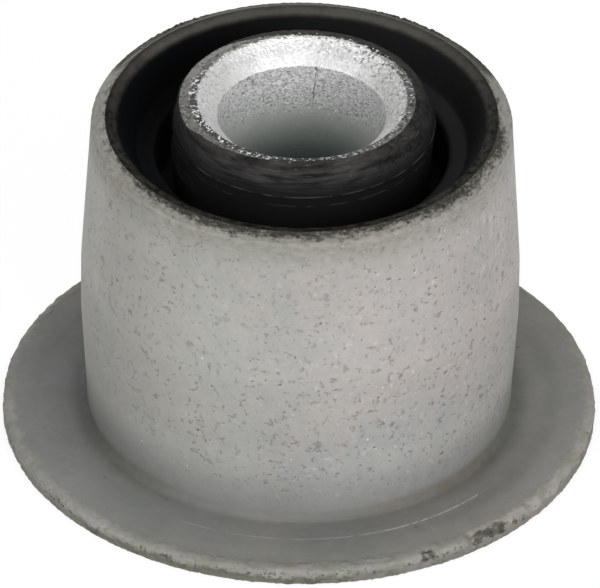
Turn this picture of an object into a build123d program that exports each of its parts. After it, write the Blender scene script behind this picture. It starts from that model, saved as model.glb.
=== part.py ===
from build123d import *
import os

# Flanged rubber-metal bush: a drawn steel outer sleeve, a bonded rubber body and an inner metal sleeve.
# Millimetres, +Z up along the bore. The origin is the centre of the flange's underside.

# Outer sleeve, drawn from one sheet
flange_radius = 26.0
flange_thickness = 1.5
flange_edge_round = 0.7
bend_radius = 0.8  # outside corner between the flange and the body
wall = 1.2
sleeve_height = 31.1
foot_radius = 18.5  # body radius at the bend
band_radius = 19.1  # the cylindrical band that the housing grips
band_bottom = 11.5
band_top = 16.5
band_blend = 20.0  # eases the band into the cones above and below it
rim_radius = 18.25
rim_slope = 0.4  # fall of the trimmed rim from its inner to its outer edge
rim_edge_round = 0.3

# Inner sleeve, with the same countersink and chamfer at both ends
bore_radius = 7.3
inner_radius = 10.7
inner_projection = 2.2  # how far it stands out above the outer sleeve's rim
inner_recess = 0.5  # how far its lower end stays above the flange's underside
land_radius = 9.15  # inner edge of the flat land between countersink and chamfer
land_width = 0.6
countersink_depth = 1.9
chamfer_height = 0.45

# Rubber body, upper end. Depths are taken from the outer sleeve's rim
lining_thickness = 1.05
lip_fall = 0.45  # fall of the lining's top face from the rim inwards
lip_round = 0.25
ledge_outer_radius = 14.3
ledge_inner_radius = 12.75
ledge_depth = 3.1
ledge_fall = 0.3
ledge_round = 0.4
groove_depth = 8.0
groove_outer_radius = 12.4
groove_inner_radius = 10.95
groove_round = 0.55
collar_radius = 11.5
collar_depth = 0.35  # of the mould's parting line, where the collar is widest
collar_band = 0.95  # height of the straight wall under that line
seam_height = 0.1
seam_width = 0.25

# Rubber body, lower end. Recesses are taken from the lower edges of the two sleeves
lower_lip_recess = 0.7
lower_groove_depth = 7.0
lower_groove_outer_radius = 15.0
lower_groove_inner_radius = 11.3
lower_groove_round = 1.4
lower_collar_recess = 1.35

rim_inner_radius = rim_radius - wall
foot_inner_radius = foot_radius - wall
inner_top = sleeve_height + inner_projection


def turned(corners: list[tuple[float, float, float]]) -> Part:
    """Revolve a closed outline about Z. Each corner is its radius, its height and its rounding."""
    points = [(radius, height) for radius, height, _ in corners]
    outline = FilletPolyline(*points, radius=[rounding for _, _, rounding in corners], close=True)
    return revolve(Plane.XZ * make_face(outline), Axis.Z)


def make_sleeve_space() -> Part:
    """The space inside the outer sleeve, open at both ends and flared by the bend at its foot."""
    below = -flange_thickness
    return turned([
        (0, below, 0),
        (flange_radius, below, 0),
        (flange_radius, 0, 0),
        (foot_inner_radius, 0, bend_radius + flange_thickness),
        (band_radius - wall, band_bottom, band_blend - wall),
        (band_radius - wall, band_top, band_blend - wall),
        (rim_inner_radius, sleeve_height, 0),
        (rim_inner_radius, inner_top, 0),
        (0, inner_top, 0),
    ])


def make_outer_sleeve(sleeve_space: Part) -> Part:
    """Flange, bend, gripping band, lead-in cone and trimmed rim, one sheet all the way."""
    outside = turned([
        (0, 0, 0),
        (flange_radius, 0, 0),
        (flange_radius, flange_thickness, flange_edge_round),
        (foot_radius, flange_thickness, bend_radius),
        (band_radius, band_bottom, band_blend),
        (band_radius, band_top, band_blend),
        (rim_radius, sleeve_height - rim_slope, rim_edge_round),
        (rim_inner_radius, sleeve_height, 0),
        (0, sleeve_height, 0),
    ])
    return outside - sleeve_space


def make_inner_sleeve() -> Part:
    """Thick tube, countersunk and chamfered at both ends, with a narrow flat land between."""
    upper_end = [
        (bore_radius, inner_top - countersink_depth, 0),
        (land_radius, inner_top, 0),
        (land_radius + land_width, inner_top, 0),
        (inner_radius, inner_top - chamfer_height, 0),
    ]
    both_ends = inner_top + inner_recess
    lower_end = [(radius, both_ends - height, 0) for radius, height, _ in reversed(upper_end)]
    return turned(upper_end + lower_end)


def make_rubber_body(sleeve_space: Part, inner_sleeve: Part) -> Part:
    """What the mould leaves between the two sleeves, with a groove in each end."""
    ledge_height = sleeve_height - ledge_depth
    groove_floor = sleeve_height - groove_depth
    parting_height = sleeve_height - collar_depth
    lower_collar = inner_recess + lower_collar_recess
    blank = turned([
        (land_radius, inner_top - chamfer_height, 0),
        (inner_radius, inner_top - chamfer_height, 0),
        (collar_radius, parting_height, 0),
        (collar_radius, parting_height - collar_band, 0),
        (groove_inner_radius, groove_floor, groove_round),
        (groove_outer_radius, groove_floor, groove_round),
        (ledge_inner_radius, ledge_height - ledge_fall, ledge_round),
        (ledge_outer_radius, ledge_height, ledge_round),
        (rim_inner_radius - lining_thickness, sleeve_height - lip_fall, lip_round),
        (rim_inner_radius, sleeve_height, 0),
        (band_radius, sleeve_height, 0),
        (band_radius, lower_lip_recess, 0),
        (foot_inner_radius - lining_thickness, lower_lip_recess, lip_round),
        (lower_groove_outer_radius, lower_groove_depth, lower_groove_round),
        (lower_groove_inner_radius, lower_groove_depth, lower_groove_round),
        (inner_radius, lower_collar, 0),
        (land_radius, lower_collar, 0),
    ])
    seam_section = Pos(collar_radius, parting_height) * Rectangle(2 * seam_height, seam_width)
    seam = revolve(Plane.XZ * seam_section, Axis.Z)
    return ((blank + seam) & sleeve_space) - inner_sleeve


sleeve_space = make_sleeve_space()
outer_sleeve = make_outer_sleeve(sleeve_space)
inner_sleeve = make_inner_sleeve()
rubber_body = make_rubber_body(sleeve_space, inner_sleeve)

nodes = {"outer_sleeve": outer_sleeve, "rubber_body": rubber_body, "inner_sleeve": inner_sleeve}

os.makedirs("parts", exist_ok=True)
for name, solid in nodes.items():
    export_step(solid, f"parts/{name}.step")
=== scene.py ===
"""Looks of a flanged rubber-metal bush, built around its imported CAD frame.

A drawn steel shell, a moulded rubber body and a bright inner tube are each turned from an outline,
roughened where such a bush is rough, and given procedural finishes. Sizes are in millimetres, in the
CAD model's own frame: +Z up the bore, the origin at the centre of the flange's underside.
"""
import logging
import math
from collections.abc import Callable, Iterator
from dataclasses import dataclass
from enum import Enum

import bpy
import numpy as np
from mathutils import Matrix, Vector
from mathutils.geometry import intersect_point_line


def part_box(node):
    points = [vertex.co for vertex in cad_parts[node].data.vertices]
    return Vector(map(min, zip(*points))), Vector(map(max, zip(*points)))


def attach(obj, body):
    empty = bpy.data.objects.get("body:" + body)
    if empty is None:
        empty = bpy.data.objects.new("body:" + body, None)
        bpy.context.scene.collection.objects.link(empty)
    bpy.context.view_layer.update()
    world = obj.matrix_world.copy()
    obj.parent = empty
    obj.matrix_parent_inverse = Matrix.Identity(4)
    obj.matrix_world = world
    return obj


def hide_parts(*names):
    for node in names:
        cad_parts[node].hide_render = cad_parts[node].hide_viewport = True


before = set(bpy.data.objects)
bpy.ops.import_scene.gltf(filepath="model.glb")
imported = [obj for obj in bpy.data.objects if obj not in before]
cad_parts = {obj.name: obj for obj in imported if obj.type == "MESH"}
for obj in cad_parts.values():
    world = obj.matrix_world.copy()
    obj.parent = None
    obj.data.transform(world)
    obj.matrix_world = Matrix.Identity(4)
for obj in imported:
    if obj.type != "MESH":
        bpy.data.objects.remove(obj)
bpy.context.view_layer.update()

MM = 0.001
FRONT, RIGHT, BACK, LEFT = -90, 0, 90, 180  # azimuths in degrees
HIDDEN = 8.0  # ring spacing where nothing shows
WELD = 0.002  # vertices closer than this are one
ON_LINE = 0.001  # how far a point on a straight run may lie beside it
WEDGE_HALVINGS = 4  # a sixteenth of the round is spun, then doubled four times
WEIGHT_LEVELS = 40
SMOOTH_ANGLE = 38.0  # edges that turn more than this stay sharp
DOT_EDGE = (-0.03, 0.09)  # how softly a dot ends, in cell sizes
ASIDE = (1.0, 0.7, 1.3)  # direction in which a second pattern is moved
WHITE = (1.0, 1.0, 1.0)
NICKS = (-63.7, -49.4)  # azimuths of the nicks in the flange's edge
SEAM_AZIMUTH, SEAM_TOP = 81.0, 30.4  # where the seam in the bore starts
PARTING, PARTING_LOW = 30.75, 29.8  # heights of the collar's parting line and of the wall's lower end
log = logging.getLogger("bush")

Colour = tuple[float, float, float]
Row = tuple[float, ...]  # the values of a Corner, in its order
Socket = bpy.types.NodeSocket


class Slot(Enum):
    """The record's material slots."""

    COATED_STEEL = "coated_steel"
    BLACK_RUBBER = "black_rubber"
    BRIGHT_METAL = "bright_metal"


class Pattern(Enum):
    """Texture kinds that roughen a surface."""

    CLOUDS = "CLOUDS"
    CELLS = "VORONOI"


def ramp(value: np.ndarray, low: float, high: float) -> np.ndarray:
    """Rise smoothly from 0 at low to 1 at high, or fall if low is the larger."""
    share = np.clip((value - low) / (high - low), 0.0, 1.0)
    return share * share * (3.0 - 2.0 * share)


def window(value: np.ndarray, low: float, high: float, soft: float) -> np.ndarray:
    """Stay at 1 between low and high, and fade to 0 within soft on both sides."""
    return ramp(value, low - soft, low) * ramp(value, high + soft, high)


class Places:
    """Where the vertices of a piece lie at the moment, in millimetres and degrees about the axis."""

    def __init__(self, piece: bpy.types.Object) -> None:
        """Keep the piece that is read."""
        self.piece = piece

    def read(self) -> np.ndarray:
        """Read the places.

        Returns:
            Rows of x, y and z.
        """
        places = np.empty(len(self.piece.data.vertices) * 3)
        self.piece.data.vertices.foreach_get("co", places)
        return places.reshape(-1, 3).T / MM

    @property
    def radius(self) -> np.ndarray:
        """Distances from the axis."""
        return np.hypot(*self.read()[:2])

    @property
    def azimuth(self) -> np.ndarray:
        """Directions about the axis, from -180 to 180."""
        x, y, _ = self.read()
        return np.degrees(np.arctan2(y, x))

    @property
    def height(self) -> np.ndarray:
        """Heights over the flange's underside."""
        return self.read()[2]

    def apart(self, direction: np.ndarray | float) -> np.ndarray:
        """Degrees from a direction, from 0 to 180."""
        return np.abs((self.azimuth - direction + 180) % 360 - 180)


# ---------------- turning


@dataclass(frozen=True)
class Corner:
    """A corner of a turned outline, in millimetres.

    Args:
        radius: Distance from the axis.
        height: Height over the flange's underside.
        pitch: Ring spacing along the run that leaves this corner.
        rounding: Radius of the corner's arc, or 0 for a sharp one.
        facets: Pieces that the arc has.
    """

    radius: float
    height: float
    pitch: float
    rounding: float = 0.0
    facets: int = 3

    @property
    def place(self) -> Vector:
        """The corner's place in metres, in the XZ half plane."""
        return Vector((self.radius, 0.0, self.height)) * MM


@dataclass(frozen=True)
class Relief:
    """A roughness that is pressed into part of a piece.

    Args:
        name: Name of its vertex group and texture.
        where: Share of the full depth at each vertex.
        depth: Travel in millimetres from the pattern's lowest to its highest value.
        grain: Size of the pattern's grains in millimetres, or 0 for an even shift.
        pattern: Kind of pattern.
        level: Pattern value that leaves the surface where it is.
        axis: Direction of the travel.
        octaves: Extra detail of a cloud pattern.
    """

    name: str
    where: np.ndarray
    depth: float
    grain: float = 0.0
    pattern: Pattern = Pattern.CLOUDS
    level: float = 0.5
    axis: str = "NORMAL"
    octaves: int = 1


class Lathe:
    """Draws a closed outline vertex by vertex and turns it into a mesh with the edit-mode tools."""

    def __init__(self, name: str, corners: list[Corner], steps: int) -> None:
        """Start with a small plane.

        Args:
            name: The piece's name.
            corners: The closed outline, in order.
            steps: Facets all the way round, a multiple of 16.
        """
        self.corners = corners
        self.steps = steps
        bpy.ops.object.select_all(action="DESELECT")
        bpy.ops.mesh.primitive_plane_add(size=MM)
        self.piece = bpy.context.active_object
        self.piece.name = self.piece.data.name = name

    def turn(self) -> bpy.types.Object:
        """Make the turned piece.

        Returns:
            The piece, at the origin, with outward normals.
        """
        bpy.ops.object.mode_set(mode="EDIT")
        self._draw()
        for corner in self.corners:
            if corner.rounding:
                self._round(corner)
        for start, end in zip(self.corners, self.corners[1:] + self.corners[:1]):
            self._divide(start, end)
        bpy.ops.mesh.select_all(action="SELECT")
        wedge = math.tau / 2 ** WEDGE_HALVINGS
        steps = self.steps >> WEDGE_HALVINGS
        bpy.ops.mesh.spin(steps=steps, angle=wedge, center=(0, 0, 0), axis=(0, 0, 1))
        for doubling in range(WEDGE_HALVINGS):
            bpy.ops.mesh.select_all(action="SELECT")
            bpy.ops.mesh.duplicate()
            angle = wedge * 2 ** doubling
            bpy.ops.transform.rotate(value=angle, orient_axis="Z", center_override=(0, 0, 0))
        bpy.ops.mesh.select_all(action="SELECT")
        bpy.ops.mesh.remove_doubles(threshold=WELD * MM)
        bpy.ops.mesh.normals_make_consistent(inside=False)
        bpy.ops.object.mode_set(mode="OBJECT")
        self.piece.location = (0, 0, 0)
        return self.piece

    def _draw(self) -> None:
        """Merge the starting plane to one vertex and extrude it from corner to corner."""
        bpy.ops.mesh.select_all(action="SELECT")
        bpy.ops.mesh.merge(type="CENTER")
        bpy.ops.transform.translate(value=self.corners[0].place)
        for start, end in zip(self.corners, self.corners[1:]):
            step = end.place - start.place
            bpy.ops.mesh.extrude_region_move(TRANSFORM_OT_translate={"value": step})
        self._select([self.corners[0].place, self.corners[-1].place])
        bpy.ops.mesh.edge_face_add()

    def _deselect(self) -> bpy.types.Mesh:
        """Leave edit mode with nothing selected.

        Returns:
            The piece's mesh.
        """
        bpy.ops.object.mode_set(mode="OBJECT")
        for kind in (self.piece.data.edges, self.piece.data.vertices):
            kind.foreach_set("select", [False] * len(kind))
        return self.piece.data

    def _select(self, places: list[Vector]) -> None:
        """Select some vertices and no others.

        Args:
            places: Where they are.
        """
        for vertex in self._deselect().vertices:
            vertex.select = any((vertex.co - place).length < WELD * MM for place in places)
        bpy.ops.object.mode_set(mode="EDIT")

    def _round(self, corner: Corner) -> None:
        """Give a corner its arc with a vertex bevel.

        Args:
            corner: A corner with a rounding.
        """
        index = self.corners.index(corner)
        before = self.corners[index - 1].place - corner.place
        after = self.corners[(index + 1) % len(self.corners)].place - corner.place
        trim = corner.rounding * MM / math.tan(before.angle(after) / 2)
        self._select([corner.place])
        bpy.ops.mesh.bevel(affect="VERTICES", offset_type="OFFSET", offset=trim, segments=corner.facets)

    def _divide(self, start: Corner, end: Corner) -> None:
        """Cut the straight run between two corners into its rings.

        Args:
            start: The corner that the run leaves, with its pitch.
            end: The next corner.
        """
        mesh = self._deselect()
        longest = 0.0
        for edge in mesh.edges:
            first, second = (mesh.vertices[i].co for i in edge.vertices)
            middle = (first + second) / 2
            nearest, share = intersect_point_line(middle, start.place, end.place)
            if 0 < share < 1 and (nearest - middle).length < ON_LINE * MM:
                edge.select = True
                longest = max(longest, (first - second).length)
        bpy.ops.object.mode_set(mode="EDIT")
        cuts = math.ceil(longest / (start.pitch * MM)) - 1
        if cuts > 0:
            bpy.ops.mesh.subdivide(number_cuts=cuts)


def press(piece: bpy.types.Object, relief: Relief) -> None:
    """Roughen a piece with one relief and apply it.

    Args:
        piece: The mesh to roughen.
        relief: What to press in, and where.
    """
    group = piece.vertex_groups.new(name=relief.name)
    steps = np.rint(np.clip(relief.where, 0, 1) * WEIGHT_LEVELS).astype(int)
    for step in range(1, WEIGHT_LEVELS + 1):
        group.add(np.flatnonzero(steps == step).tolist(), step / WEIGHT_LEVELS, "REPLACE")
    modifier = piece.modifiers.new(relief.name, "DISPLACE")
    modifier.vertex_group = group.name
    modifier.direction = relief.axis
    modifier.strength = relief.depth * MM
    modifier.mid_level = relief.level
    if relief.grain:
        texture = bpy.data.textures.new(relief.name, relief.pattern.value)
        texture.noise_scale = relief.grain * MM
        if relief.pattern is Pattern.CLOUDS:
            texture.noise_depth = relief.octaves
        modifier.texture = texture
        modifier.texture_coords = "LOCAL"
    bpy.ops.object.select_all(action="DESELECT")
    piece.select_set(True)
    bpy.context.view_layer.objects.active = piece
    bpy.ops.object.modifier_apply(modifier=modifier.name)
    piece.vertex_groups.clear()


# ---------------- shader maths


def operator(operation: str, reflected: bool = False) -> Callable[["Signal", "Term"], "Signal"]:
    """Make the method behind an arithmetic sign.

    Args:
        operation: What its Math node does.
        reflected: Whether the other term comes first.

    Returns:
        The method.
    """

    def join(self: "Signal", other: "Term") -> "Signal":
        """Join this signal and another term."""
        terms = (other, self) if reflected else (self, other)
        return self.math(operation, *terms)

    return join


class Signal:
    """A number that varies over a surface. Arithmetic on it adds Math nodes."""

    def __init__(self, tree: "Tree", socket: Socket) -> None:
        """Wrap a numeric socket of a tree."""
        self.tree = tree
        self.socket = socket

    __add__ = __radd__ = operator("ADD")
    __sub__ = operator("SUBTRACT")
    __rsub__ = operator("SUBTRACT", reflected=True)
    __mul__ = __rmul__ = operator("MULTIPLY")
    __truediv__ = operator("DIVIDE")
    __rtruediv__ = operator("DIVIDE", reflected=True)
    __pow__ = operator("POWER")

    def math(self, operation: str, *terms: "Term") -> "Signal":
        """Join terms in one Math node."""
        return self.tree.signal("ShaderNodeMath", {"operation": operation}, dict(enumerate(terms)))

    def __abs__(self) -> "Signal":
        """Drop the sign."""
        return self.math("ABSOLUTE", self)

    def above(self, low: float, high: float) -> "Signal":
        """Rise smoothly from 0 at low to 1 at high."""
        limits = {"Value": self, "From Min": low, "From Max": high}
        return self.tree.signal("ShaderNodeMapRange", {"interpolation_type": "SMOOTHSTEP"}, limits)

    def below(self, low: float, high: float) -> "Signal":
        """Fall smoothly from 1 at low to 0 at high."""
        return 1 - self.above(low, high)

    def near(self, centre: float, reach: float) -> "Signal":
        """Peak at 1 on a value and fall to 0 at its reach."""
        return abs(self - centre).below(0.0, reach)

    def either(self, other: "Signal") -> "Signal":
        """The larger of two signals."""
        return self.math("MAXIMUM", self, other)


Term = Signal | float
Shade = Colour | Socket


class Tree:
    """Writes the nodes of one material or world."""

    def __init__(self, owner: bpy.types.ID) -> None:
        """Start with no nodes.

        Args:
            owner: The material or world.
        """
        owner.use_nodes = True
        self.nodes = owner.node_tree.nodes
        self.links = owner.node_tree.links
        self.nodes.clear()

    def node(self, kind: str, settings: dict | None = None,
             inputs: dict | None = None) -> bpy.types.Node:
        """Add one node.

        Args:
            kind: Blender's name of the node type.
            settings: Properties, set before the sockets.
            inputs: Values, signals or sockets, by input name or number.

        Returns:
            The new node.
        """
        made = self.nodes.new(kind)
        for name, value in (settings or {}).items():
            setattr(made, name, value)
        for name, value in (inputs or {}).items():
            socket = made.inputs[name]
            if isinstance(value, Signal):
                value = value.socket
            if isinstance(value, Socket):
                self.links.new(value, socket)
            elif isinstance(value, tuple) and socket.type == "RGBA":
                socket.default_value = (*value, 1.0)
            else:
                socket.default_value = value
        return made

    def signal(self, kind: str, settings: dict, inputs: dict, output: int | str = 0) -> Signal:
        """Add one node and wrap its numeric output."""
        return Signal(self, self.node(kind, settings, inputs).outputs[output])

    def mix(self, share: Term, low: Shade, high: Shade) -> Socket:
        """Blend two colours, with share 0 giving the first."""
        inputs = {0: share, 6: low, 7: high}
        return self.node("ShaderNodeMix", {"data_type": "RGBA"}, inputs).outputs[2]

    def shade(self, colour: Shade, share: Term) -> Socket:
        """Multiply a colour by a number."""
        return self.vector("SCALE", colour, Scale=share)

    def vector(self, operation: str, *terms: Shade, **named: Term) -> Socket:
        """Join vectors in one Vector Math node."""
        inputs = {**dict(enumerate(terms)), **named}
        return self.node("ShaderNodeVectorMath", {"operation": operation}, inputs).outputs[0]

    def bump(self, height: Signal, depth: float) -> Socket:
        """Turn a height from 0 to 1 into a bumped normal.

        Args:
            height: The height.
            depth: Millimetres that a height of 1 stands for.

        Returns:
            The normal.
        """
        inputs = {"Height": height, "Distance": depth * MM, "Strength": 1.0}
        return self.node("ShaderNodeBump", {}, inputs).outputs[0]


class Surface(Tree):
    """Nodes of a material on a turned piece, with coordinates in millimetres about its axis."""

    def __init__(self, name: str) -> None:
        """Start a material with its coordinates.

        Args:
            name: The material's name.
        """
        self.material = bpy.data.materials.new(name)
        super().__init__(self.material)
        place = self.node("ShaderNodeTexCoord").outputs["Object"]
        self.place = self.vector("SCALE", place, Scale=1 / MM)
        parts = self.node("ShaderNodeSeparateXYZ", {}, {0: self.place}).outputs
        self.x, self.y, self.height = (Signal(self, part) for part in parts)
        self.radius = (self.x * self.x + self.y * self.y) ** 0.5

    def toward(self, azimuth: float) -> Signal:
        """Cosine of the turn between a point and an azimuth in degrees."""
        angle = math.radians(azimuth)
        return (self.x * math.cos(angle) + self.y * math.sin(angle)) / self.radius

    def facing(self, azimuth: float, low: float, high: float) -> Signal:
        """Rise from 0 where that cosine is low to 1 where it is high."""
        return self.toward(azimuth).above(low, high)

    def around(self, stretch: float, fine: float, flat: float = 0.0) -> Socket:
        """Coordinates for a pattern drawn out around the axis.

        Args:
            stretch: Pattern units per turn of one radian.
            fine: Pattern units per millimetre across the turning direction.
            flat: How far the radius counts beside the height, for faces that lie flat.

        Returns:
            The coordinates, with no seam.
        """
        ring = stretch / self.radius
        parts = (self.x * ring, self.y * ring, (self.height - self.radius * flat) * fine)
        return self.node("ShaderNodeCombineXYZ", {}, dict(enumerate(parts))).outputs[0]

    def coordinates(self, where: Socket | int | None) -> Socket:
        """Coordinates as given, or in millimetres, moved aside by a number."""
        return self.shifted(where) if isinstance(where, int) else where or self.place

    def shifted(self, amount: float, at: Socket | None = None) -> Socket:
        """Coordinates moved aside, so that a second pattern doesn't follow the first."""
        return self.vector("ADD", at or self.place, tuple(amount * part for part in ASIDE))

    def bent(self, at: Socket, size: float, amount: float) -> Socket:
        """Coordinates bent by a soft noise, so that a pattern's cells aren't alike.

        Args:
            at: The coordinates.
            size: The noise's clouds to the millimetre.
            amount: How far they are moved.

        Returns:
            The bent coordinates.
        """
        inputs = {"Vector": self.place, "Scale": size, "Detail": 1.0}
        wobble = self.node("ShaderNodeTexNoise", {}, inputs).outputs["Color"]
        return self.vector("ADD", at, self.shade(wobble, amount))

    def noise(self, size: float, detail: float = 3, rough: float = 0.6, warp: float = 0.0,
              at: Socket | int | None = None) -> Signal:
        """Cloudy noise from 0 to 1.

        Args:
            size: Size of its clouds in millimetres, or in pattern units with other coordinates.
            detail: Octaves.
            rough: Strength of the finer octaves.
            warp: Distortion.
            at: Other coordinates, or how far the pattern is moved aside.

        Returns:
            The noise.
        """
        inputs = {"Vector": self.coordinates(at), "Scale": 1 / size}
        inputs.update(Detail=detail, Roughness=rough, Distortion=warp)
        return self.signal("ShaderNodeTexNoise", {}, inputs)

    def cells(self, size: float, at: Socket | int | None = None) -> tuple[Signal, Signal]:
        """Scattered cells.

        Args:
            size: Size of a cell in millimetres.
            at: As for noise.

        Returns:
            Distance from the cell's middle in cell sizes, and the cell's own number from 0 to 1.
        """
        inputs = {"Vector": self.coordinates(at), "Scale": 1 / size}
        found = self.node("ShaderNodeTexVoronoi", {}, inputs)
        own = self.node("ShaderNodeSeparateColor", {}, {0: found.outputs["Color"]}).outputs[0]
        return Signal(self, found.outputs["Distance"]), Signal(self, own)

    def dots(self, size: float, share: float, radius: float, at: Socket | int | None = None) -> Signal:
        """Dots of differing size.

        Args:
            size: Spacing of the cells that may hold a dot.
            share: Share of the cells that hold one.
            radius: Radius of the largest, in cell sizes.
            at: As for noise.

        Returns:
            1 inside a dot and 0 outside.
        """
        distance, own = self.cells(size, at)
        reach = (own - (1 - share)) * (radius / share)
        return (reach - distance).above(*DOT_EDGE)

    def close(self, colour: Socket, roughness: Signal, normal: Socket,
              **constants: float) -> bpy.types.Material:
        """Finish the material.

        Args:
            colour: Base colour.
            roughness: Roughness.
            normal: Normal from a bump.
            constants: Further sockets of the shader, by name with underscores for blanks.

        Returns:
            The material.
        """
        inputs = {"Base Color": colour, "Roughness": roughness, "Normal": normal}
        inputs.update({name.replace("_", " "): value for name, value in constants.items()})
        shader = self.node("ShaderNodeBsdfPrincipled", {}, inputs)
        self.node("ShaderNodeOutputMaterial", {}, {"Surface": shader.outputs[0]})
        return self.material


# ---------------- finishes


@dataclass(frozen=True)
class SteelCoat:
    """Matt grey coat of the shell: clouded and pitted on the body, smoother on the flange, with light
    and shade painted in by azimuth and height.
    """

    slot: Slot = Slot.COATED_STEEL
    warm: Colour = (0.452, 0.430, 0.407)
    cool: Colour = (0.403, 0.411, 0.399)
    pale: Colour = (0.5, 0.505, 0.5)
    rosy: Colour = (0.470, 0.425, 0.405)
    sallow: Colour = (0.448, 0.440, 0.388)
    flange: Colour = (0.260, 0.250, 0.230)
    flange_cool: Colour = (0.226, 0.232, 0.220)
    flange_blue: Colour = (0.220, 0.233, 0.229)
    edge: Colour = (0.36, 0.340, 0.316)
    edge_rosy: Colour = (0.43, 0.385, 0.368)
    edge_green: Colour = (0.31, 0.315, 0.262)
    cut: Colour = (0.150, 0.147, 0.118)
    scribe: Colour = (0.58, 0.55, 0.52)
    pit: Colour = (0.1, 0.09, 0.07)
    # pale specks, also used for painted highlights
    speck_and_highlight: Colour = (0.78, 0.79, 0.79)
    smear: Colour = (0.21, 0.205, 0.168)
    dirt: Colour = (0.026, 0.028, 0.018)
    film: Colour = (0.078, 0.077, 0.062)
    grime_and_shade: Colour = (0.068, 0.070, 0.050)
    rust: Colour = (0.17, 0.125, 0.08)
    foot_top: float = 5.5  # height where the pits fade out
    rim_radius: float = 18.35
    rim_height: float = 30.6
    rim_reach: float = 1.8  # how far across the rim the rubber's remains thin out
    scribe_radius: float = 21.4
    scribe_middle: float = -80.0  # azimuth
    chips: tuple[float, float] = (2.2, 6.0)  # half widths of the dark places round the nicks

    def material(self) -> bpy.types.Material:
        """Write its nodes.

        Returns:
            The material.
        """
        s = Surface(self.slot.value)
        body = s.height.above(1.8, 2.5)
        clouds = (s.noise(3.2, 4, warp=0.3) * 0.5 + s.noise(7.5, 3, 0.5, at=61) * 0.5).above(0.38, 0.62)
        broad = s.noise(9, 2, 0.5)
        fine = s.noise(0.6, 4, 0.65)
        colour = s.mix(clouds, self.warm, self.cool)
        thin = s.noise(1.7, warp=0.5, at=11).above(0.56, 0.72)
        colour = s.mix(thin * 0.45, colour, self.pale)
        colour = s.mix(s.facing(-42, 0.55, 0.95) * s.height.above(9, 16) * 0.5, colour, self.rosy)
        colour = s.mix(s.facing(-145, 0.5, 0.95) * 0.35, colour, self.sallow)
        foot = s.height.below(2.5, self.foot_top + 3)
        colour = s.mix(foot * 0.8, colour, self.cool)
        # painted light and shade by azimuth: lighter where the key lamp falls, on the sides above the
        # band, in a strip at -111 and as a painted rim light at -2; darker in a strip at -46 and
        # towards the rim at the front
        wear_and_painted_light = s.facing(-61, 0.85, 1) * 0.06 - s.height.above(21, 29) * s.facing(-88, 0.6, 1) * 0.085
        wear_and_painted_light = wear_and_painted_light + s.toward(FRONT).below(0.34, 0.52) * s.height.above(15.5, 17.5) * 0.12
        wear_and_painted_light = wear_and_painted_light + s.facing(-111, 0.972, 0.998) * 0.05 - s.facing(-46, 0.965, 0.997) * 0.02
        wear_and_painted_light = wear_and_painted_light + s.facing(-2, 0.985, 0.999) * 0.09
        # painted shade: the gripping band, the foot over the flange and the bend are darkened
        band_shade = s.height.above(6.5, 9.5) * s.height.below(14.8, 17)
        shade = 1 + wear_and_painted_light - foot * 0.27 - s.height.below(1.8, 3.4) * 0.04 - band_shade * 0.075
        colour = s.shade(colour, shade)

        bands = s.noise(1, 3, 0.55, at=s.around(1.5, 0.25))
        flange = s.mix(bands.above(0.35, 0.65), self.flange, self.flange_cool)
        flange = s.mix(s.facing(205, 0.3, 0.9) * 0.65, flange, self.flange_blue)
        flange = s.mix(s.facing(-30, 0.5, 0.95) * 0.5, flange, self.flange)
        # painted shade: the flange darker near the body, most in front
        near = s.radius.below(20, 23.5) * (0.45 + s.facing(FRONT, -0.3, 0.6) * 0.55)
        rings = s.noise(1, warp=0.3, at=s.around(7, 0.7, 1))
        # painted light and shade on the flange by azimuth
        sides = s.facing(-15, 0.3, 0.95) * 0.06 + s.facing(238, 0.75, 0.97) * 0.14
        sides = sides - s.facing(183, 0.8, 0.98) * 0.11
        sides = sides - s.radius.near(22.2, 1.3) * s.facing(-20, 0.5, 0.95) * 0.11
        sides = sides + s.radius.below(21.5, 23.5) * s.facing(165, 0.955, 0.995) * 0.13
        sides = sides + s.radius.above(22.3, 23) * s.facing(153, 0.968, 0.997) * 0.12
        stains = s.noise(3.4, warp=0.4, at=61)
        flange = s.shade(flange, 0.81 + sides + rings * 0.18 + stains * 0.2 - near * 0.17)
        flange = s.mix(s.dots(1.8, 0.35, 0.15, 67) * 0.55, flange, self.pit)
        colour = s.mix(body, flange, colour)

        lifted = s.height + s.toward(-35) * 6
        open_wall = s.height.above(2, self.foot_top) * lifted.above(2, 9)
        pitted, pit_highlights = self._pits(s)
        pitted = pitted * open_wall.either((1 - body) * 0.12)
        colour = s.mix(pitted * 0.72, colour, self.pit)
        specks = s.dots(1.3, 0.3, 0.12, 7) * 0.7
        flecks = s.noise(0.6, warp=0.6, at=71).above(0.6, 0.74) * 0.35
        # pale specks and flecks, and the painted highlights below the pits
        light = specks.either((flecks * s.facing(-40, 0.2, 0.9)).either(pit_highlights * 0.3) * open_wall)
        rubbed = s.facing(-27, 0.984, 0.997) * s.height.above(19, 22.5) * s.height.below(27, 29)
        streaks = s.noise(0.8, warp=0.5, at=s.around(25, 0.42)).above(0.5, 0.68)
        light = light.either(rubbed * streaks * 0.36)
        colour = s.mix(light * body, colour, self.speck_and_highlight)

        colour, hammered = self._edge_band(s, colour, body)
        colour = self._nicks(s, colour)
        colour = self._foot_line(s, colour)
        colour, rough_rim = self._rim(s, colour)
        mottle = s.noise(1.4, warp=0.3, at=47)
        colour = s.shade(colour, 0.73 + fine * 0.22 + mottle * 0.16 + broad * 0.16)

        relief = fine * 0.45 - pitted * 1.6 + s.noise(0.22, 2) * 0.3 + hammered + rough_rim
        return s.close(colour, 0.5 + fine * 0.16 + pitted * 0.1, s.bump(relief, 0.045),
                       Metallic=0.1, Specular_IOR_Level=0.12)

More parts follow.
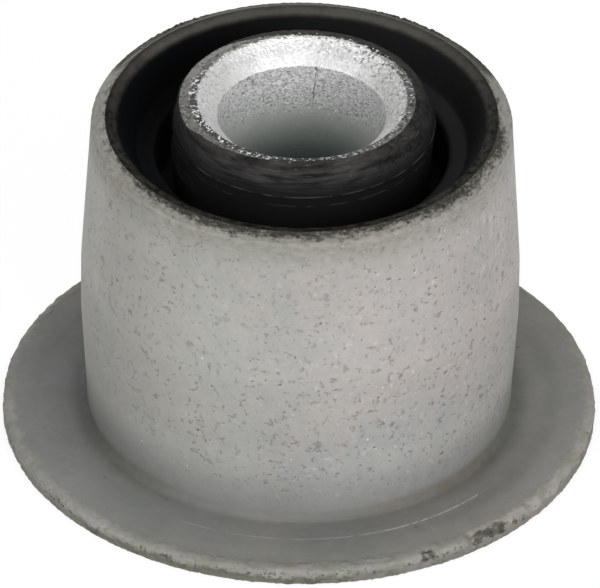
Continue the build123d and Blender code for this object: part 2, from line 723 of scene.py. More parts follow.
    def _pits(self, s: Surface) -> tuple[Signal, Signal]:
        """Small pits, some single and some strung into short crooked lines, crowded at the right.

        Args:
            s: The surface.

        Returns:
            The pits, and painted highlights along their lower edges.
        """
        bent = s.bent(s.around(13.5, 1), 2.2, 0.5)
        single = s.dots(0.84, 0.68, 0.195, bent)
        # the same dots moved slightly down and aside, for painted highlights below the pits
        beside = s.dots(0.84, 0.68, 0.195, s.vector("ADD", bent, (-0.08, 0, 0.13)))
        tiny = s.dots(0.46, 0.6, 0.26, s.shifted(17, bent)) * 0.7
        crooked = s.noise(0.9, 2, 0.5, warp=0.7).near(0.5, 0.12)
        strung = crooked * s.noise(0.62, 1.5, 0.5, at=31).above(0.53, 0.7)
        crowded = 0.65 + s.facing(-35, -0.1, 0.85) * 0.35 + s.facing(-150, 0.4, 0.9) * 0.15
        crowded = crowded - s.height.above(17, 24) * s.facing(-85, 0.8, 0.97) * 0.22
        strength = (0.6 + s.noise(1.2, 2, 0.5, at=37).above(0.4, 0.6) * 0.4) * crowded
        pits = single.either(tiny).either(strung * 0.7)
        return pits * strength, (beside - pits).above(0.1, 1) * strength

    def _edge_band(self, s: Surface, colour: Socket, body: Signal) -> tuple[Socket, Signal]:
        """The pale blotched edge of the flange, with painted light at its sides, its dark cut edge and
        the scribed line.

        Args:
            s: The surface.
            colour: Its colour so far.
            body: 1 over the flange and 0 on it.

        Returns:
            The colour, and the height of the edge's dents.
        """
        blotch = s.noise(0.9, 4, 0.65, warp=0.4)
        patches = s.noise(1.5, at=29)
        tint = s.noise(1.8, 2, 0.5, at=23)
        pale = s.mix(tint.above(0.4, 0.6), self.edge, self.edge_green)
        pale = s.mix(s.facing(-42, 0.94, 0.985) * patches.above(0.35, 0.6) * 0.9, pale, self.edge_rosy)
        wear_and_painted_light = s.radius.above(22.6, 25.2) * (1 - body)
        colour = s.mix(wear_and_painted_light * (0.31 - s.facing(200, 0.8, 0.97) * 0.1), colour, pale)
        band = (s.radius + blotch * 1.6).above(25.35, 26.35) * (1 - body)
        # painted light: the edge band made paler and lighter at its right and left sides
        right = s.facing(-30, 0.2, 0.9)
        left = s.facing(210, 0.75, 0.97)
        uneven = blotch * (1 - left * 0.65) + left * 0.32
        colour = s.mix(band * (0.04 + uneven * 0.62 + right * 0.22 + left * 0.16), colour, pale)
        sides = s.facing(-15, 0.75, 0.97).either(left)
        colour = s.shade(colour, 1 + band * (sides * 0.16 + patches * 0.44 - 0.25))
        cut = (s.height + (blotch + patches - 1) * 1.3).below(0.45, 0.95) * s.radius.above(25.2, 25.7)
        low = s.height.below(0.2, 0.7) * s.facing(-95, 0.1, 0.8)
        rubbed = s.facing(203, 0.92, 0.985) * 0.6
        cut = (cut * (0.52 + s.facing(-115, 0.6, 0.95) * 0.46) * (1 - rubbed)).either(low * 0.74)
        colour = s.mix(cut * 0.85, colour, self.cut)
        colour = s.mix(cut * patches.above(0.5, 0.62) * 0.55, colour, self.grime_and_shade)
        holes = s.noise(0.4, 3, 0.65, at=41) + s.noise(2.6, 2, 0.5) * 0.35
        holes = holes.above(0.75, 0.84) * s.height.near(0.85, 0.6) * s.radius.above(25.2, 25.6)
        colour = s.mix(holes * 0.85, colour, self.grime_and_shade)
        reach = s.facing(self.scribe_middle, 0.755, 0.82)
        strong = 0.45 + 0.55 * s.facing(-52, 0.9, 0.985)
        broken = s.noise(1.4, 2, at=3).above(0.3, 0.5)
        broken = broken * (0.45 + s.noise(0.45, at=13).above(0.38, 0.6) * 0.55)
        line = s.radius.near(self.scribe_radius, 0.13) * (1 - body) * reach * broken * strong
        dents = band.either(cut) * (blotch * 3 + s.noise(0.35, 2) * 0.9) - holes * 1.5
        return s.mix(line * 0.9, colour, self.scribe), dents

    def _nicks(self, s: Surface, colour: Socket) -> Socket:
        """Dark ragged places where the flange's edge is chipped.

        Args:
            s: The surface.
            colour: Its colour so far.

        Returns:
            The colour with them.
        """
        ragged = s.noise(1, warp=0.3, at=s.around(34, 1.9, 0.3))
        for azimuth, half in zip(NICKS, self.chips):
            across = s.facing(azimuth, math.cos(math.radians(half)), math.cos(math.radians(half * 0.4)))
            depth = s.radius.above(25, 25.6) * s.height.above(0.3, 0.85)
            chip = (across * 0.8 + ragged * 1.5 + depth * 0.3).above(1.5, 1.8) * depth.above(0.1, 0.4)
            colour = s.mix(chip * (0.3 + ragged * 0.9), colour, self.grime_and_shade)
        return colour

    def _foot_line(self, s: Surface, colour: Socket) -> Socket:
        """Painted shade in the bend at the body's foot, weaker in front, a brown tint at the right, and
        a painted highlight along the top of the bend.

        Args:
            s: The surface.
            colour: Its colour so far.

        Returns:
            The colour with it.
        """
        patch = s.noise(0.9)
        # painted shade: darker in the bend, weaker in front
        bend = s.radius.below(19, 20.6) * s.height.below(1.7, 2.6) * s.height.above(1.2, 1.5)
        kept = 1 - s.facing(-88, 0.55, 0.95) * 0.75
        colour = s.mix(bend * kept * (0.2 + patch * 0.45), colour, self.grime_and_shade)
        # painted shade low on the body beside the bend
        colour = s.shade(colour, 1 - s.radius.below(19.1, 19.8) * s.height.below(2.2, 3.4) * 0.06)
        tinted = s.radius.below(19.2, 20.2) * s.height.near(2, 0.9) * patch.above(0.25, 0.6)
        front = s.facing(-50, 0.86, 0.99).either(s.facing(-135, 0.97, 0.997) * 0.7)
        colour = s.mix(tinted * front * 0.3, colour, self.rust)
        # painted highlight: a thin pale line along the top of the bend in front
        line = s.radius.near(18.98, 0.07) * s.height.below(1.7, 2) * s.facing(-78, 0.88, 0.97)
        return s.mix(line * 0.4 * patch.above(0.35, 0.65), colour, self.edge)

    def _rim(self, s: Surface, colour: Socket) -> tuple[Socket, Signal]:
        """Remains of rubber over the trimmed rim, thickest inside and at the back, thin at the sides.

        Args:
            s: The surface.
            colour: Its colour so far.

        Returns:
            The colour, and the height of the remains.
        """
        across = s.around(22, 2.6, 1)
        ragged = s.noise(1, 3, 0.55, warp=0.25, at=across)
        clumps = s.noise(3, 2, 0.5, at=s.shifted(19, across))
        below = s.height.above(27.2, 30.3) * (0.3 + ragged.above(0.25, 0.8) * 0.5)
        colour = s.mix(below, colour, s.mix(0.5, self.smear, self.edge_green))
        colour = s.mix(s.height.above(28, 29.8) * s.facing(-84, 0.88, 0.99) * 0.07, colour, self.rust)
        top = s.height.above(29.7, 30.2)
        inward = (self.rim_radius - s.radius + (s.height - self.rim_height) * 0.9) / self.rim_reach
        smears = s.facing(-33, 0.93, 0.985) * 0.15 + s.facing(-6, 0.985, 0.997) * 0.25
        bare = s.facing(LEFT, 0.6, 0.97) * 0.45 + s.facing(RIGHT, 0.6, 0.97) * 0.12
        bare = bare + s.facing(14, 0.93, 0.985) * 0.42
        rear = s.facing(89, 0.35, 0.48)
        crumbs = s.noise(0.27, 2, warp=0.3, at=83)
        cover = inward + (ragged - 0.5) * 1.3 + (clumps - 0.5) + (crumbs - 0.5) * 1.1
        cover = cover + 0.12 + smears - bare - rear * 0.25
        olive = s.mix(s.noise(0.42, warp=0.4, at=across).above(0.5, 0.66) * 0.4, self.dirt, self.smear)
        colour = s.mix(cover.above(0.25, 1) * top * 0.93, colour, olive)
        thinning = (s.toward(89) + (clumps - 0.5) * 0.7).above(0.42, 0.8)
        thinning = thinning.either(s.height.above(29.7, 30.1))
        behind = rear * thinning * (s.height + ragged * 2.4).above(30.1, 30.7)
        colour = s.mix(behind * (0.76 + ragged * 0.3), colour, self.film)
        colour = s.mix(behind * s.radius.above(17.3, 17.8) * (0.62 + clumps * 0.35), colour, self.dirt)
        colour = s.mix(s.height.above(28.9, 29.5) * s.facing(141, 0.955, 0.99) * 0.5, colour, self.dirt)
        aslant = s.radius - s.toward(239) * 1.9
        scratch = aslant.near(17.4, 0.13) * s.facing(149, 0.9962, 0.9975)
        colour = s.mix(scratch * top * 0.9, colour, self.edge)
        grit = s.dots(0.55, 0.35, 0.16, 53) * top
        colour = s.mix(grit * 0.5, colour, self.speck_and_highlight)
        return colour, top * ragged * 1.6


@dataclass(frozen=True)
class MouldedRubber:
    """Black rubber, dusty and streaked on the collar, with painted light and shade on the lining, ledge
    and collar and a painted highlight on its parting seam.
    """

    slot: Slot = Slot.BLACK_RUBBER
    black: Colour = (0.0096, 0.0100, 0.0104)
    bloom_and_painted_light: Colour = (0.068, 0.066, 0.064)
    dust: Colour = (0.084, 0.077, 0.067)
    lip_dust: Colour = (0.112, 0.107, 0.093)
    blacker: Colour = (0.002, 0.0026, 0.003)
    scuff_and_highlight: Colour = (0.17, 0.165, 0.16)

    def material(self) -> bpy.types.Material:
        """Write its nodes.

        Returns:
            The material.
        """
        s = Surface(self.slot.value)
        streaks = s.noise(1, 3, 0.65, warp=0.3, at=s.around(3, 4.5))
        smears = s.noise(1, 2, 0.5, warp=0.3, at=s.around(3.5, 1))
        soft = s.noise(2.2, 3, 0.5)
        slope = s.height.above(30.6, 32.6) * s.radius.below(12.5, 13)
        front = 0.5 + s.facing(-80, -0.3, 0.8) * 0.50
        rough = s.noise(0.55, 4, 0.7, warp=0.5)
        right = s.facing(RIGHT, 0.3, 0.85)
        streaked = streaks.above(0.33, 0.7) * (0.75 - right * 0.6) + smears.above(0.35, 0.65) * 0.45
        streaked = streaked + rough.above(0.45, 0.75) * right * 0.5
        colour = s.mix(slope * streaked * front, self.black, self.bloom_and_painted_light)
        film = s.height.above(32.75, 33) * (0.25 + s.facing(100, -0.5, 0.6) * 0.75)
        colour = s.mix(film * (0.2 + s.noise(0.5).above(0.3, 0.7) * 0.8), colour, self.dust)
        rear = s.facing(BACK, -0.5, 1)
        lining = s.radius.above(12.6, 13.4)
        # painted shade and light on the lining: blacker on the left, lighter on the right
        colour = s.mix(lining * s.facing(LEFT, -0.2, 0.8) * 0.85, colour, self.blacker)
        colour = s.mix(lining * s.facing(RIGHT, 0.2, 0.9) * 0.1, colour, self.bloom_and_painted_light)
        lip = s.height.above(30.3, 30.8) * s.radius.above(15.8, 16.35)
        lip = lip * (1 - s.radius.above(16.6, 17) * 0.25)
        kept = 0.15 + rear * rear * 0.85
        colour = s.mix(lip * (0.25 + soft + rough * 0.7) * kept, colour, self.lip_dust)
        torn = s.noise(1, warp=0.4, at=s.around(18, 2, 1))
        colour = s.mix(lip * (1 - rear) * torn.above(0.48, 0.66) * 0.22, colour, self.lip_dust)
        colour = s.mix(lip * (1 - rear) * torn.below(0.36, 0.5) * 0.85, colour, self.blacker)
        # painted light: the ledge lighter at the right
        ledge = s.height.near(28, 0.7) * s.radius.above(12.8, 13.2) * s.radius.below(14.2, 14.6)
        colour = s.mix(ledge * s.facing(-10, -0.2, 0.9) * 0.28, colour, self.bloom_and_painted_light)
        # painted highlight along the collar's parting seam, and a fainter one at the wall's lower end
        seam = s.height.near(PARTING, 0.1).either(s.height.near(PARTING_LOW, 0.08) * 0.6)
        seam = seam * s.radius.near(11.55, 0.3)
        colour = s.mix(seam * 0.4 * s.noise(1.6, 3, 0.5).above(0.4, 0.6), colour, self.scuff_and_highlight)
        scratches = s.noise(1, 2, 0.5, at=s.around(7, 9)).above(0.65, 0.71) * slope
        flakes = s.noise(0.45, 3, 0.7, warp=0.8).above(0.64, 0.7) * slope * s.facing(-10, 0.3, 0.9)
        colour = s.mix(scratches.either(flakes) * 0.35, colour, self.scuff_and_highlight)
        # painted light: the collar's left side lighter
        side = s.radius.below(12.2, 12.7) * s.facing(188, 0.6, 0.97)
        colour = s.mix(side * soft * 0.24, colour, self.bloom_and_painted_light)
        relief = streaks * (0.6 - right * 0.5) + rough * 0.6 + right * rough
        return s.close(colour, 0.62 + soft * 0.15, s.bump(relief, 0.05), Specular_IOR_Level=0.03)


@dataclass(frozen=True)
class BrightMetal:
    """Bare metal of the inner tube, crystalline round its mouth and smooth inside, with painted
    highlights, glints and reflections round the mouth and painted shade down the bore.
    """

    slot: Slot = Slot.BRIGHT_METAL
    silver: Colour = (0.52, 0.53, 0.53)
    # also the painted highlight at the back of the countersink
    crest: Colour = (0.73, 0.725, 0.725)
    cloud: Colour = (0.44, 0.445, 0.445)
    grained: Colour = (0.69, 0.7, 0.69)
    glint: Colour = (0.96, 0.96, 0.96)
    shadow: Colour = (0.27, 0.28, 0.27)
    dull: Colour = (0.17, 0.175, 0.16)
    grey: Colour = (0.72, 0.715, 0.7)
    bore: Colour = (0.74, 0.76, 0.73)
    deep_shade: Colour = (0.083, 0.118, 0.104)
    dark: Colour = (0.045, 0.047, 0.045)
    chamfer: Colour = (0.25, 0.245, 0.225)
    sink_foot: float = 31.38  # height where the countersink meets the bore
    lower_sink: float = 2.3  # height where the lower one does

    def material(self) -> bpy.types.Material:
        """Write its nodes.

        Returns:
            The material.
        """
        s = Surface(self.slot.value)
        _, grain = s.cells(0.16)
        _, second = s.cells(0.2, 5)
        _, flake = s.cells(0.19, s.bent(s.place, 3, 0.45))
        fine = s.noise(0.35)
        crinkle = s.noise(0.5, 3, 0.7)
        sink = (s.height + (crinkle - 0.5) * 0.4).above(self.sink_foot - 0.05, self.sink_foot + 0.05)

        rays = s.noise(1, warp=0.5, at=s.around(26, 0.5))
        rear = s.facing(BACK, 0.38, 0.82)
        cloudy = s.noise(1.5, 4, 0.65, warp=0.4).above(0.5, 0.68)
        crystals = rays.above(0.3, 0.62) * 0.5 + grain * 0.35
        # painted highlight: the countersink turns to the crest colour towards the back
        mouth = s.mix(crystals.either(rear * 0.9), self.grey, self.crest)
        mouth = s.mix(cloudy * rear * 0.42, mouth, self.cloud)
        outer = s.radius.above(7.6, 9.2) * 0.6 + 0.4
        # painted light and shade on the countersink by azimuth
        turned = s.facing(195, 0.3, 0.9) * 0.065 - s.facing(RIGHT, 0.3, 0.9) * 0.05
        turned = turned + rear * 0.09 - s.facing(88, 0.86, 0.985) * 0.13
        turned = turned + s.facing(124, 0.86, 0.98) * 0.11 + s.facing(56, 0.9, 0.985) * 0.07
        mouth = s.shade(mouth, 0.8 + turned + fine * 0.4)
        mouth = s.mix(second.above(0.72, 0.86) * outer * 0.4 * (1 - rear * 0.8), mouth, self.dark)
        right = s.facing(RIGHT, -0.1, 0.8)
        mouth = s.mix(flake.below(0.11, 0.17) * outer * right * 0.8, mouth, self.dark)
        # painted glints on the countersink's outer part
        mouth = s.mix(flake.above(0.8, 0.87) * outer * (0.7 + right * 0.5), mouth, self.glint)

        # painted shade: the bore darker and greenish deeper down, from higher up at the back, and
        # lighter again near its lower end
        aslant = s.height - s.toward(BACK) * 3 + 3
        wall = s.mix(aslant.above(20.5, 29).either(s.height.below(3, 12)), self.deep_shade, self.bore)
        wall = s.shade(wall, 0.91 + s.noise(1, warp=0.5, at=s.around(5, 1)) * 0.18)
        drawn = s.around(42, 9.5)
        _, spark = s.cells(1, drawn)
        _, shade = s.cells(1, s.shifted(9, drawn))
        grained = (s.height + crinkle * 3.4 - s.toward(85).below(0.1, 0.85) * 1.1).above(26.9, 31.3)
        wall = s.mix(grained.above(0.2, 0.9), wall, self.grained)
        # painted light: the grained wall lighter at the left and right
        beside = s.facing(190, 0.2, 0.9) * 0.15 + s.facing(RIGHT, 0.4, 0.95) * 0.10
        wall = s.shade(wall, 1 + grained * beside)
        # painted glints and dark flecks in the grained wall
        shaded = (shade + grained * 0.2).above(0.9, 1) * grained.above(0, 0.5)
        sparkling = (spark + grained * 0.34).above(0.96, 1.06) * grained.above(0, 0.4)
        wall = s.mix(shaded * 0.85, wall, self.shadow)
        wall = s.mix(sparkling, wall, self.glint)
        lower = s.height.below(self.lower_sink, self.lower_sink + 0.15)
        colour = s.mix(sink.either(lower), wall, mouth)
        colour = s.mix(self._seam(s, sink), colour, self.dark)

        land = s.radius.above(9, 9.2)
        # painted reflections on the land: glints brighter at the back and the left, more of them at the
        # back, and a darker ground at the front left
        silver = s.mix(rear.either(s.facing(205, 0.3, 0.85)), self.silver, self.glint)
        ground = s.mix(s.toward(-120).below(0.1, 0.8) * second.below(0.5, 0.7), self.dark, self.dull)
        sparkle = flake.above(0.76, 0.84).either(rear * 0.75 * second.above(0.2, 0.5))
        glitter = s.mix(sparkle, ground, silver)
        colour = s.mix(land, colour, glitter)
        reach = s.facing(128, 0.75, 0.97) * (0.1 + crinkle * 0.8)
        bevel = (s.radius + reach).above(9.7, 9.9)
        stained = s.shade(self.chamfer, 0.7 + fine * 0.6)
        colour = s.mix(bevel * (1 - grain.above(0.8, 0.9) * 0.5), colour, stained)
        colour = s.mix(bevel * second.above(0.75, 0.9) * 0.7, colour, self.dark)
        rough = 0.44 + grain * 0.16 + bevel * 0.15 + (1 - sink) * 0.06
        return s.close(colour, rough, s.bump(fine + rays * 0.5, 0.03), Metallic=0.5)

    def _seam(self, s: Surface, sink: Signal) -> Signal:
        """The crooked dark seam down the bore, with a faint trace of it in the countersink.

        Args:
            s: The surface.
            sink: 1 in the countersink and 0 in the bore.

        Returns:
            1 on the seam and 0 beside it.
        """
        wander = (s.noise(0.9) - 0.5) * 0.7 - (SEAM_TOP - s.height) * 0.076
        aside = s.toward(SEAM_AZIMUTH + 90) * s.radius + wander
        line = aside.near(0, 0.12) * s.facing(SEAM_AZIMUTH, 0.5, 0.9) * s.height.above(27, 28.2)
        return line * (0.8 - sink * 0.62) * s.noise(0.5, 2).above(0.25, 0.55)


# ---------------- pieces


class TurnedPiece:
    """A piece of the bush that is turned from an outline and stands for one CAD node."""

    name: str
    node: str
    finish: SteelCoat | MouldedRubber | BrightMetal
    steps: int  # a multiple of 16, all the way round

    @property
    def slot(self) -> Slot:
        """The slot of its finish."""
        return self.finish.slot

    def outline(self) -> list[Row]:
        """The corners of the closed outline."""
        raise NotImplementedError

    def reliefs(self, at: Places) -> Iterator[Relief]:
        """What roughens the surface, each worked out on what the one before it left."""
        raise NotImplementedError

    def build(self) -> bpy.types.Object:
        """Turn, roughen and dress the piece, and tie it to the frame.

        Returns:
            The finished piece.
        """
        corners = [Corner(*row) for row in self.outline()]
        piece = Lathe(self.name, corners, self.steps).turn()
        for relief in self.reliefs(Places(piece)):
            press(piece, relief)
        bpy.ops.object.shade_smooth_by_angle(angle=math.radians(SMOOTH_ANGLE))
        piece.data.materials.append(self.finish.material())
        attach(piece, "root")
        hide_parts(self.node)
        self.slot.value
        return piece


@dataclass
class SteelShell(TurnedPiece):
    """Flange, bend, gripping band, lead-in cone and trimmed rim, drawn from one sheet."""

    name: str = "steel_shell"
    node: str = "outer_sleeve"
    finish: SteelCoat = SteelCoat()
    steps: int = 720
    thickness: float = 1.5
    wall: float = 1.2
    foot: float = 18.5
    band: float = 19.1
    band_low: float = 11.5
    band_high: float = 16.5
    blend: float = 20.0  # eases the band into the cones beside it
    rim: float = 18.25
    rim_fall: float = 0.55  # from the rim's inner edge to its outer one
    cone_top: tuple[float, float] = (18.33, 29.4)  # radius and height where the rim's fine rings start
    fine_edge: float = 22.5  # radius where the flange's fine rings start

    def outline(self) -> list[Row]:
        """The sheet's section, from the bend's underside outwards and up.

        Returns:
            Its corners.
        """
        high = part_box(self.node)[1]
        reach, top = high.x / MM, high.z / MM
        inside, inner_blend = self.band - self.wall, self.blend - self.wall
        return [
            (self.foot - self.wall, 0, 1.5, 2.3, 4),
            (reach, 0, 0.12),
            (reach, self.thickness, 0.18, 0.7, 7),
            (self.fine_edge, self.thickness, 0.4),
            (self.foot, self.thickness, 0.9, 0.8, 5),
            (self.band, self.band_low, 0.9, self.blend),
            (self.band, self.band_high, 0.9, self.blend),
            (*self.cone_top, 0.16),
            (self.rim, top - self.rim_fall, 0.13, 0.3, 4),
            (self.rim - self.wall, top, HIDDEN),
            (inside, self.band_high, HIDDEN, inner_blend, 2),
            (inside, self.band_low, HIDDEN, inner_blend, 2),
        ]

    def reliefs(self, at: Places) -> Iterator[Relief]:
        """Burrs on the rim, dents and cut marks on the flange's edge, and nicks at the front right.

        Args:
            at: The vertices' places.

        Yields:
            The reliefs, in order.
        """
        crowded = np.maximum(window(at.azimuth, 50, 68, 6), window(at.azimuth, 120, 134, 6))
        rim = window(at.height, 30.35, 30.95, 0.35) * ramp(at.radius, 17.3, 17.8)
        yield Relief("rim_burrs", rim * (0.30 + 0.70 * crowded), 0.36, 0.34, level=0.45, octaves=2)

        edge = ramp(at.radius, 24.9, 25.5) * ramp(at.height, -0.5, 0.4)
        yield Relief("edge_dents", edge, 0.24, 0.85, level=0.76, octaves=2)

        cut = ramp(at.radius, 25.0, 25.6) * (0.4 + 0.6 * ramp(at.height, 1.2, 0.8))
        cut = cut * ramp(at.height, -0.5, 0.4)
        yield Relief("cut_edge", cut, 0.24, 0.40, level=0.78, octaves=2)

        nicks = np.maximum(ramp(at.apart(NICKS[0]), 2.2, 1.2), ramp(at.apart(NICKS[1]), 6.2, 4.2))
        nicks = nicks * ramp(at.radius, 24.8, 25.4) * ramp(at.height, 0.3, 0.8)
        yield Relief("edge_nicks", nicks, 0.50, 0.40, level=0.8, octaves=2)


@dataclass
class BrightTube(TurnedPiece):
    """Inner sleeve with a countersunk, crystalline mouth."""

    name: str = "bright_tube"
    node: str = "inner_sleeve"
    finish: BrightMetal = BrightMetal()
    steps: int = 640
    bore: float = 7.3
    crest: float = 9.15
    land: float = 0.6
    sink: float = 1.9
    chamfer: float = 0.45
    grainy_depth: float = 5.0  # of the grained part of the bore under the mouth
    seam_lean: float = 0.6  # degrees for each millimetre down

    def outline(self) -> list[Row]:
        """The tube's section, from the upper mouth outwards and down.

        Returns:
            Its corners.
        """
        low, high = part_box(self.node)
        outside, bottom, top = high.x / MM, low.z / MM, high.z / MM
        flat = self.crest + self.land
        return [
            (self.bore, top - self.sink, 0.09, 0.25, 4),
            (self.crest, top, 0.08, 0.10, 2),
            (flat, top, 0.10, 0.08, 2),
            (outside, top - self.chamfer, HIDDEN),
            (outside, bottom + self.chamfer, 0.35),
            (flat, bottom, 0.3),
            (self.crest, bottom, 0.4),
            (self.bore, bottom + self.sink, 2.0),
            (self.bore, top - self.sink - self.grainy_depth, 0.13),
        ]

    def reliefs(self, at: Places) -> Iterator[Relief]:
        """Crystal grains, strongest on the land, and a seam down the bore.

        Args:
            at: The vertices' places.

        Yields:
            The reliefs, in order.
        """
        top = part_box(self.node)[1].z / MM
        foot = top - self.sink
        for name, grain, pattern in (
            ("crystals", 0.16, Pattern.CELLS),
            ("crystal_clouds", 0.20, Pattern.CLOUDS),
        ):
            ring = ramp(at.height, top - 1.7, top - 0.3)
            sink = 0.35 * ramp(at.height, foot - 0.1, foot + 0.2)
            wall = 0.35 * ramp(at.height, foot - self.grainy_depth, top - self.sink - 0.5)
            grains = np.maximum(np.maximum(ring, sink), wall)
            yield Relief(name, grains, 0.08, grain, pattern, 1.0, octaves=2)

        place = SEAM_AZIMUTH + self.seam_lean * (SEAM_TOP - at.height)
        seam = ramp(at.apart(place), 0.9, 0.1)
        seam = seam * window(at.height, 27.6, 31.0, 0.3) * (at.radius < 8)
        yield Relief("bore_seam", seam, -0.10, level=0.0)


@dataclass
class RubberMoulding(TurnedPiece):
    """Rubber between the sleeves: lining, ledge, groove and collar, and a film on the tube's mouth."""

    name: str = "rubber_moulding"
    node: str = "rubber_body"
    finish: MouldedRubber = MouldedRubber()
    steps: int = 576
    collar: float = 11.5
    seam: tuple[float, float] = (0.10, 0.12)  # how far the parting seam stands out, and half its height
    film_top: float = 33.3
    groove_floor: float = 23.1
    lower_groove_floor: float = 7.0
    lower_lip: float = 0.7
    lower_collar: float = 1.85
    outside: float = 17.95  # against the steel
    core: float = 10.5  # inside the tube's wall
    film_edge: tuple[tuple[float, float], ...] = (  # azimuth in degrees, radius where the film ends
        (-180, 10.75), (-158, 10.7), (-150, 10.3), (-130, 10.0), (-110, 9.75), (-100, 9.45),
        (-80, 9.45), (-65, 9.7), (-30, 9.85), (0, 9.8), (35, 9.5), (44, 9.35), (48, 9.1), (52, 9.35),
        (60, 9.45), (90, 9.3), (108, 9.5), (118, 9.9), (126, 10.5), (135, 10.75), (180, 10.75),
    )

    def outline(self) -> list[Row]:
        """The rubber's section, from the film on the tube's mouth outwards and down.

        Returns:
            Its corners.
        """
        out, half = self.seam
        return [
            (9.10, 33.0, 0.1),
            (9.16, self.film_top, 0.08),
            (9.80, self.film_top, 0.08),
            (10.74, 32.90, 0.10, 0.12, 3),
            (self.collar + 0.02, PARTING + half, 0.1),
            (self.collar + out, PARTING, 0.1),
            (self.collar, PARTING - half, 0.1),
            (self.collar, PARTING_LOW, 0.5),
            (10.95, self.groove_floor, 0.5, 0.55, 4),
            (12.4, self.groove_floor, 0.7, 0.55, 4),
            (12.75, 27.7, 0.4, 0.4, 4),
            (14.3, 28.0, 0.4, 0.4, 4),
            (16.05, 30.84, 0.14, 0.35, 5),
            (17.10, 30.98, HIDDEN),
            (self.outside, 16.5, HIDDEN),
            (self.outside, 11.5, HIDDEN),
            (17.35, 2.3, 1.0),
            (18.00, self.lower_lip, 0.5),
            (16.25, self.lower_lip, 0.8, 0.25, 3),
            (15.0, self.lower_groove_floor, 0.8, 1.4, 5),
            (11.3, self.lower_groove_floor, 0.8, 1.4, 5),
            (10.7, self.lower_collar, 0.5),
            (self.core, self.lower_collar, HIDDEN),
            (self.core, 32.4, 0.5),
        ]

    def reliefs(self, at: Places) -> Iterator[Relief]:
        """The film's ragged edge on the tube's mouth, scuffs along the collar, and a wavy lip.

        Args:
            at: The vertices' places.

        Yields:
            The reliefs, in order.
        """
        film = ramp(at.height, 32.6, 32.9) * (at.radius < 10.9)
        yield Relief("film_edge", film, 0.14, 0.4, level=0.90, axis="Z", octaves=3)

        edge = np.interp(at.azimuth, *zip(*self.film_edge))
        past = ramp(at.height, 32.6, 32.8) * ramp(at.radius - edge, 0.14, -0.14) * (at.radius < 10.8)
        yield Relief("past_film", past, -0.20, level=0.0, axis="Z")

        thin = window(at.azimuth % 360.0, 140.0, 200.0, 30.0) * window(at.radius, 11.0, 11.7, 0.2)
        yield Relief("thin_side", thin * (at.height > 28), -0.35, level=0.0)

        collar = window(at.height, 29.7, 32.7, 0.3) * window(at.radius, 10.6, 11.7, 0.2)
        yield Relief("collar_scuffs", collar, 0.07, 0.8, octaves=2)

        lip = window(at.radius, 15.8, 16.6, 0.3) * ramp(at.height, 30.0, 30.5)
        yield Relief("lip_waves", lip, 0.12, 0.9, octaves=2)


# ---------------- studio


@dataclass(frozen=True)
class Lamp:
    """A soft box that looks at the bush.

    Args:
        name: Its name.
        azimuth: Direction from the bush in degrees, -90 in front of it.
        elevation: Degrees over the floor.
        power: Watts.
        width: Metres.
        tall: Metres.
        distance: Metres.
    """

    name: str
    azimuth: float
    elevation: float
    power: float
    width: float = 0.5
    tall: float = 0.4
    distance: float = 0.9


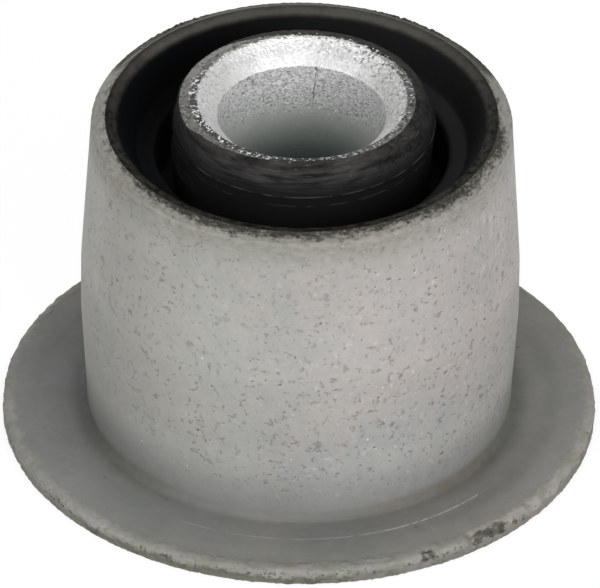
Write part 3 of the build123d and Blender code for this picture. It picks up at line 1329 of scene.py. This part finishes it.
@dataclass(frozen=True)
class Studio:
    """Pale floor, soft boxes and the camera."""

    lamps: tuple[Lamp, ...] = (
        Lamp("key", -60.0, 26.0, 4.3),
        Lamp("left", -146.0, 26.0, 1.9),
        Lamp("high", -88.0, 52.0, 2.6),
        Lamp("back", BACK, 30.0, 0.6),
        Lamp("low_back", 100.0, 7.0, 1.6),
    )
    floor_size: float = 6.0  # metres
    ambient: float = 0.06  # strength of the dim even light
    aim: float = 15.0 * MM  # height that the lamps look at
    camera_place: Vector = Vector((0.0, -1.1460, 0.83861))  # metres
    camera_tilt: float = 54.205  # degrees from straight down
    camera_roll: float = 0.593
    lens: float = 971.71  # millimetres, on this width of film
    film: float = 36.0
    paint: float = 0.82  # grey of the floor
    glow: float = 1.08  # of the floor where it shows as background
    shown: float = 0.88  # share of that glow
    glow_edge: tuple[float, float] = (22.0, 27.0)  # radii between which the glow sets in
    sky_turn: tuple[float, float] = (0.15, 0.70)  # heights between which the white sky turns grey
    sky_fall: float = 0.75  # share of white that it loses

    def build(self) -> None:
        """Set the whole studio up."""
        self._floor()
        self._world()
        for lamp in self.lamps:
            self._lamp(lamp)
        self._camera()
        bpy.context.scene.view_settings.view_transform = "Standard"

    def _seen(self, tree: Tree) -> Signal:
        """Tell the rays that show the background from those that only light the bush.

        Args:
            tree: The tree that asks.

        Returns:
            1 for the first and 0 for the others.
        """
        path = tree.node("ShaderNodeLightPath").outputs
        kinds = ("Camera", "Glossy", "Transmission")
        camera, glossy, glass = (Signal(tree, path[f"Is {kind} Ray"]) for kind in kinds)
        return camera.either(glossy).either(glass)

    def _floor(self) -> None:
        """A white floor that fades under the bush and keeps its shadow."""
        bpy.ops.object.select_all(action="DESELECT")
        bpy.ops.mesh.primitive_plane_add(size=self.floor_size)
        floor = bpy.context.active_object
        floor.name = "studio_floor"
        s = Surface("studio_floor")
        open_floor = s.radius.above(*self.glow_edge)
        paint = s.node("ShaderNodeBsdfDiffuse", {}, {"Color": (self.paint,) * 3})
        glow = s.node("ShaderNodeEmission", {}, {"Color": WHITE, "Strength": self.glow})
        share = self._seen(s) * open_floor * self.shown
        both = s.node("ShaderNodeMixShader", {}, {0: share, 1: paint.outputs[0], 2: glow.outputs[0]})
        s.node("ShaderNodeOutputMaterial", {}, {"Surface": both.outputs[0]})
        floor.data.materials.append(s.material)

    def _world(self) -> None:
        """White around the horizon and greyer overhead, with a dim even light."""
        world = bpy.data.worlds.new("studio")
        bpy.context.scene.world = world
        tree = Tree(world)
        ray = tree.node("ShaderNodeTexCoord").outputs["Generated"]
        up = Signal(tree, tree.node("ShaderNodeSeparateXYZ", {}, {0: ray}).outputs[2])
        shown = 1 - up.above(*self.sky_turn) * self.sky_fall
        strength = shown * self._seen(tree) + (1 - self._seen(tree)) * self.ambient
        light = tree.node("ShaderNodeBackground", {}, {"Color": WHITE, "Strength": strength})
        tree.node("ShaderNodeOutputWorld", {}, {"Surface": light.outputs[0]})

    def _lamp(self, lamp: Lamp) -> None:
        """Hang one soft box.

        Args:
            lamp: Its size, place and power.
        """
        azimuth, elevation = math.radians(lamp.azimuth), math.radians(lamp.elevation)
        level = math.cos(elevation)
        away = Vector((level * math.cos(azimuth), level * math.sin(azimuth), math.sin(elevation)))
        data = bpy.data.lights.new(lamp.name, "AREA")
        data.shape = "RECTANGLE"
        data.size, data.size_y = lamp.width, lamp.tall
        data.energy = lamp.power
        box = bpy.data.objects.new(lamp.name, data)
        bpy.context.scene.collection.objects.link(box)
        box.location = away * lamp.distance + Vector((0, 0, self.aim))
        box.rotation_euler = away.to_track_quat("Z", "Y").to_euler()

    def _camera(self) -> None:
        """Place the long-lens camera."""
        data = bpy.data.cameras.new("camera")
        data.lens = self.lens
        data.sensor_width = self.film
        data.sensor_fit = "HORIZONTAL"
        camera = bpy.data.objects.new("camera", data)
        bpy.context.scene.collection.objects.link(camera)
        tilt = Matrix.Rotation(math.radians(self.camera_tilt), 4, "X")
        roll = Matrix.Rotation(math.radians(self.camera_roll), 4, "Z")
        camera.matrix_world = Matrix.Translation(self.camera_place) @ tilt @ roll
        bpy.context.scene.camera = camera


def main() -> None:
    """Build the bush and its studio."""
    logging.basicConfig(level=logging.INFO, format="%(name)s: %(message)s")
    for kind in (SteelShell, RubberMoulding, BrightTube):
        piece = kind().build()
        log.info("%s: %d faces", piece.name, len(piece.data.polygons))
    Studio().build()
    bpy.context.view_layer.update()


if __name__ == "__main__":
    main()
